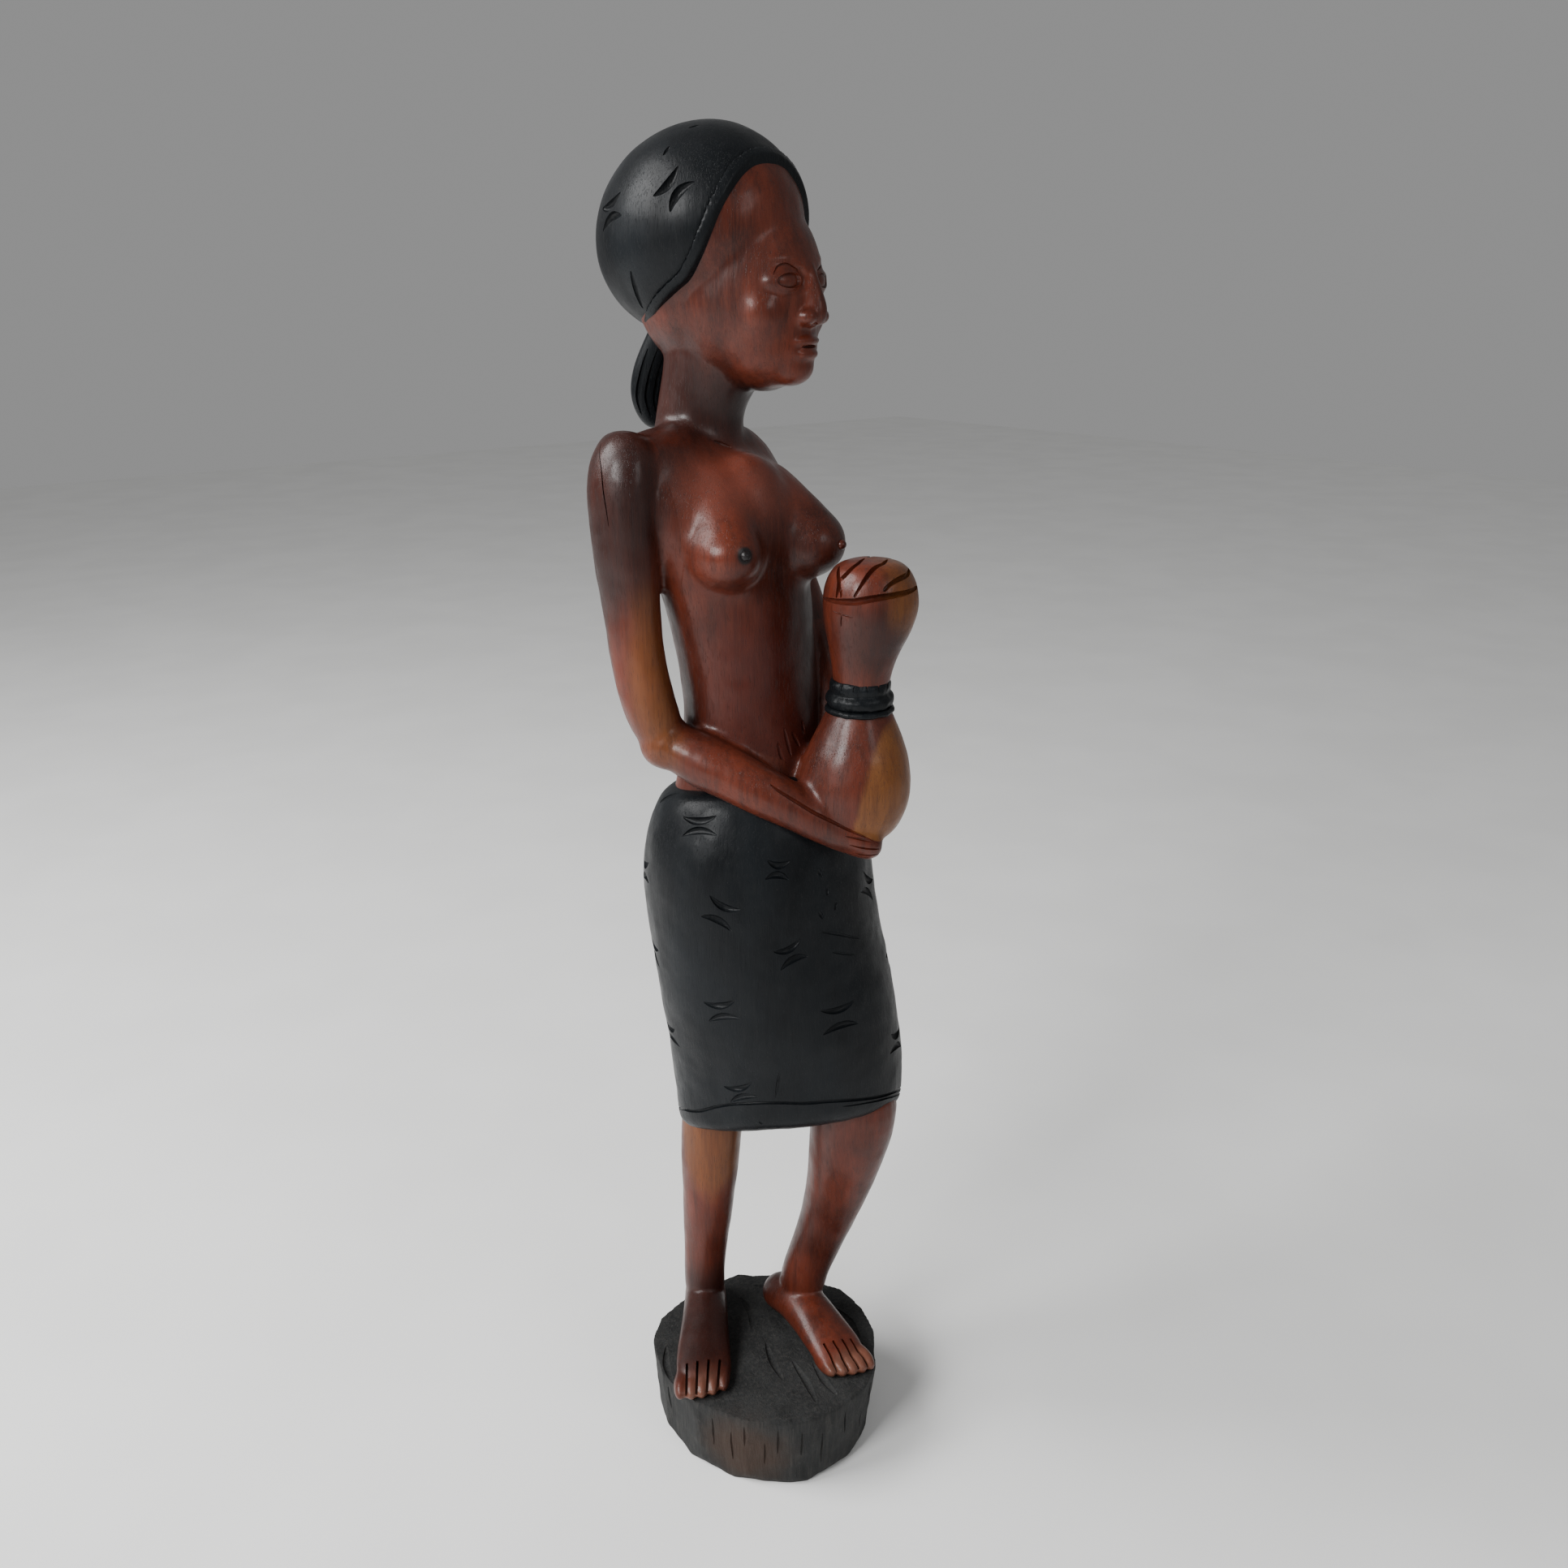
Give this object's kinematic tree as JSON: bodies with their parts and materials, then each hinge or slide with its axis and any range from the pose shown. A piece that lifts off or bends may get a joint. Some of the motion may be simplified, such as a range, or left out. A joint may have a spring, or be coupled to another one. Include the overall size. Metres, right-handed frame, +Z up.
{
  "type": "carved standing figure",
  "caption": "Standing wooden figure of a woman in a dark headscarf and wrap skirt, one fist raised, carved with its own block to stand on a shelf.",
  "frame": {"origin": "centre of the block's flat underside", "axes": "+Z up the figure, -Y the way the figure faces, +X towards the figure's left side"},
  "size_m": [0.0922, 0.1072, 0.45],
  "materials": {
    "heartwood": "polished reddish-brown hardwood, darker streaks, paler sapwood on the outermost parts",
    "black_stain": "black stain, polished to a satin sheen",
    "base_stain": "dark grey-black stain, rough from the tool and unpolished"
  },
  "bodies": {
    "root": {"base_block": "base_stain", "right_foot": "heartwood", "left_foot": "heartwood", "right_shin": "heartwood", "left_shin": "heartwood", "skirt": "black_stain", "skirt_hem_band": "black_stain", "skirt_waist_roll": "black_stain", "torso": "heartwood", "neck": "heartwood", "head": "heartwood", "headscarf": "black_stain", "headscarf_band": "black_stain", "headscarf_tail": "black_stain", "right_upper_arm": "heartwood", "right_forearm": "heartwood", "right_hand": "heartwood", "left_upper_arm": "heartwood", "left_forearm": "heartwood", "left_fist": "heartwood", "bracelet_ring": "black_stain", "bracelet_lower_ring": "black_stain"}
  },
  "joints": []
}
